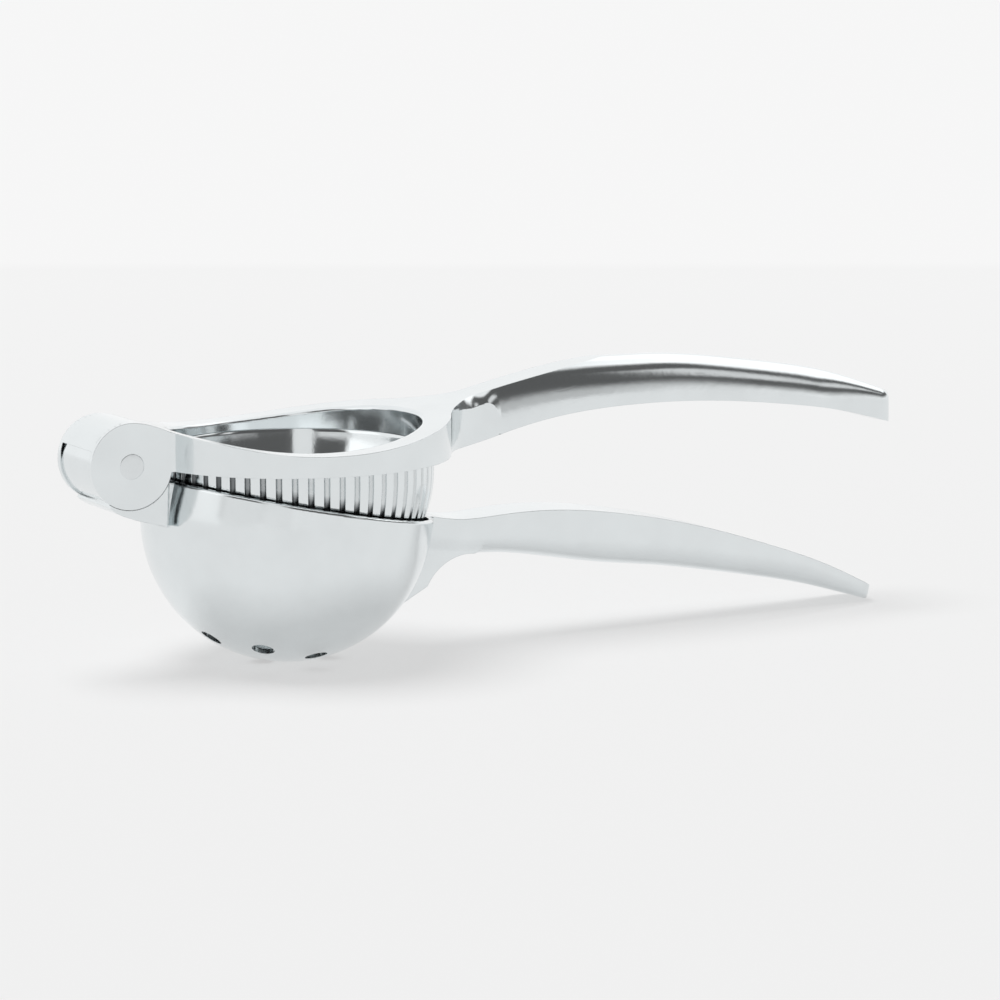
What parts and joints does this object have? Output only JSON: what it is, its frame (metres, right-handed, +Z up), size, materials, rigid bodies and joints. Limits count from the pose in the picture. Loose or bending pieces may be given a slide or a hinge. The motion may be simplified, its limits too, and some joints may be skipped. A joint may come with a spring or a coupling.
{
  "type": "citrus squeezer",
  "caption": "Hinged citrus press: a lever with a drained round bowl and a lever with a ring and fluted press cup, joined by a hinge pin and closed by hand.",
  "frame": {"origin": "middle of the bounding box at its lowest level, which is the surface the squeezer stands on, with the press lever raised as it stays by itself", "axes": "+X from the hinge to the handle tips, +Y to the far side along the hinge pin, +Z up"},
  "size_m": [0.227, 0.0748, 0.0688],
  "materials": {
    "lower_casting": "polished cast aluminium, bright, with a soft sheen",
    "upper_casting": "polished cast aluminium, bright, with a soft sheen",
    "press_cup": "cast aluminium, fluted outside, smooth inside",
    "hinge_pin": "ground flush with the ears",
    "washers": "plain steel"
  },
  "bodies": {
    "bowl_lever": {"lower_lever": "lower_casting"},
    "press_lever": {"upper_lever": "upper_casting", "press_cup": "press_cup", "hinge_pin": "hinge_pin", "washer_near": "washers", "washer_far": "washers"}
  },
  "joints": [
    {"name": "lever_hinge", "type": "hinge", "parent": "bowl_lever", "child": "press_lever", "pos_m": [-0.10337, 0, 0.05134], "axis": [0, -1, 0], "range_deg": [-11.4, 78]}
  ]
}
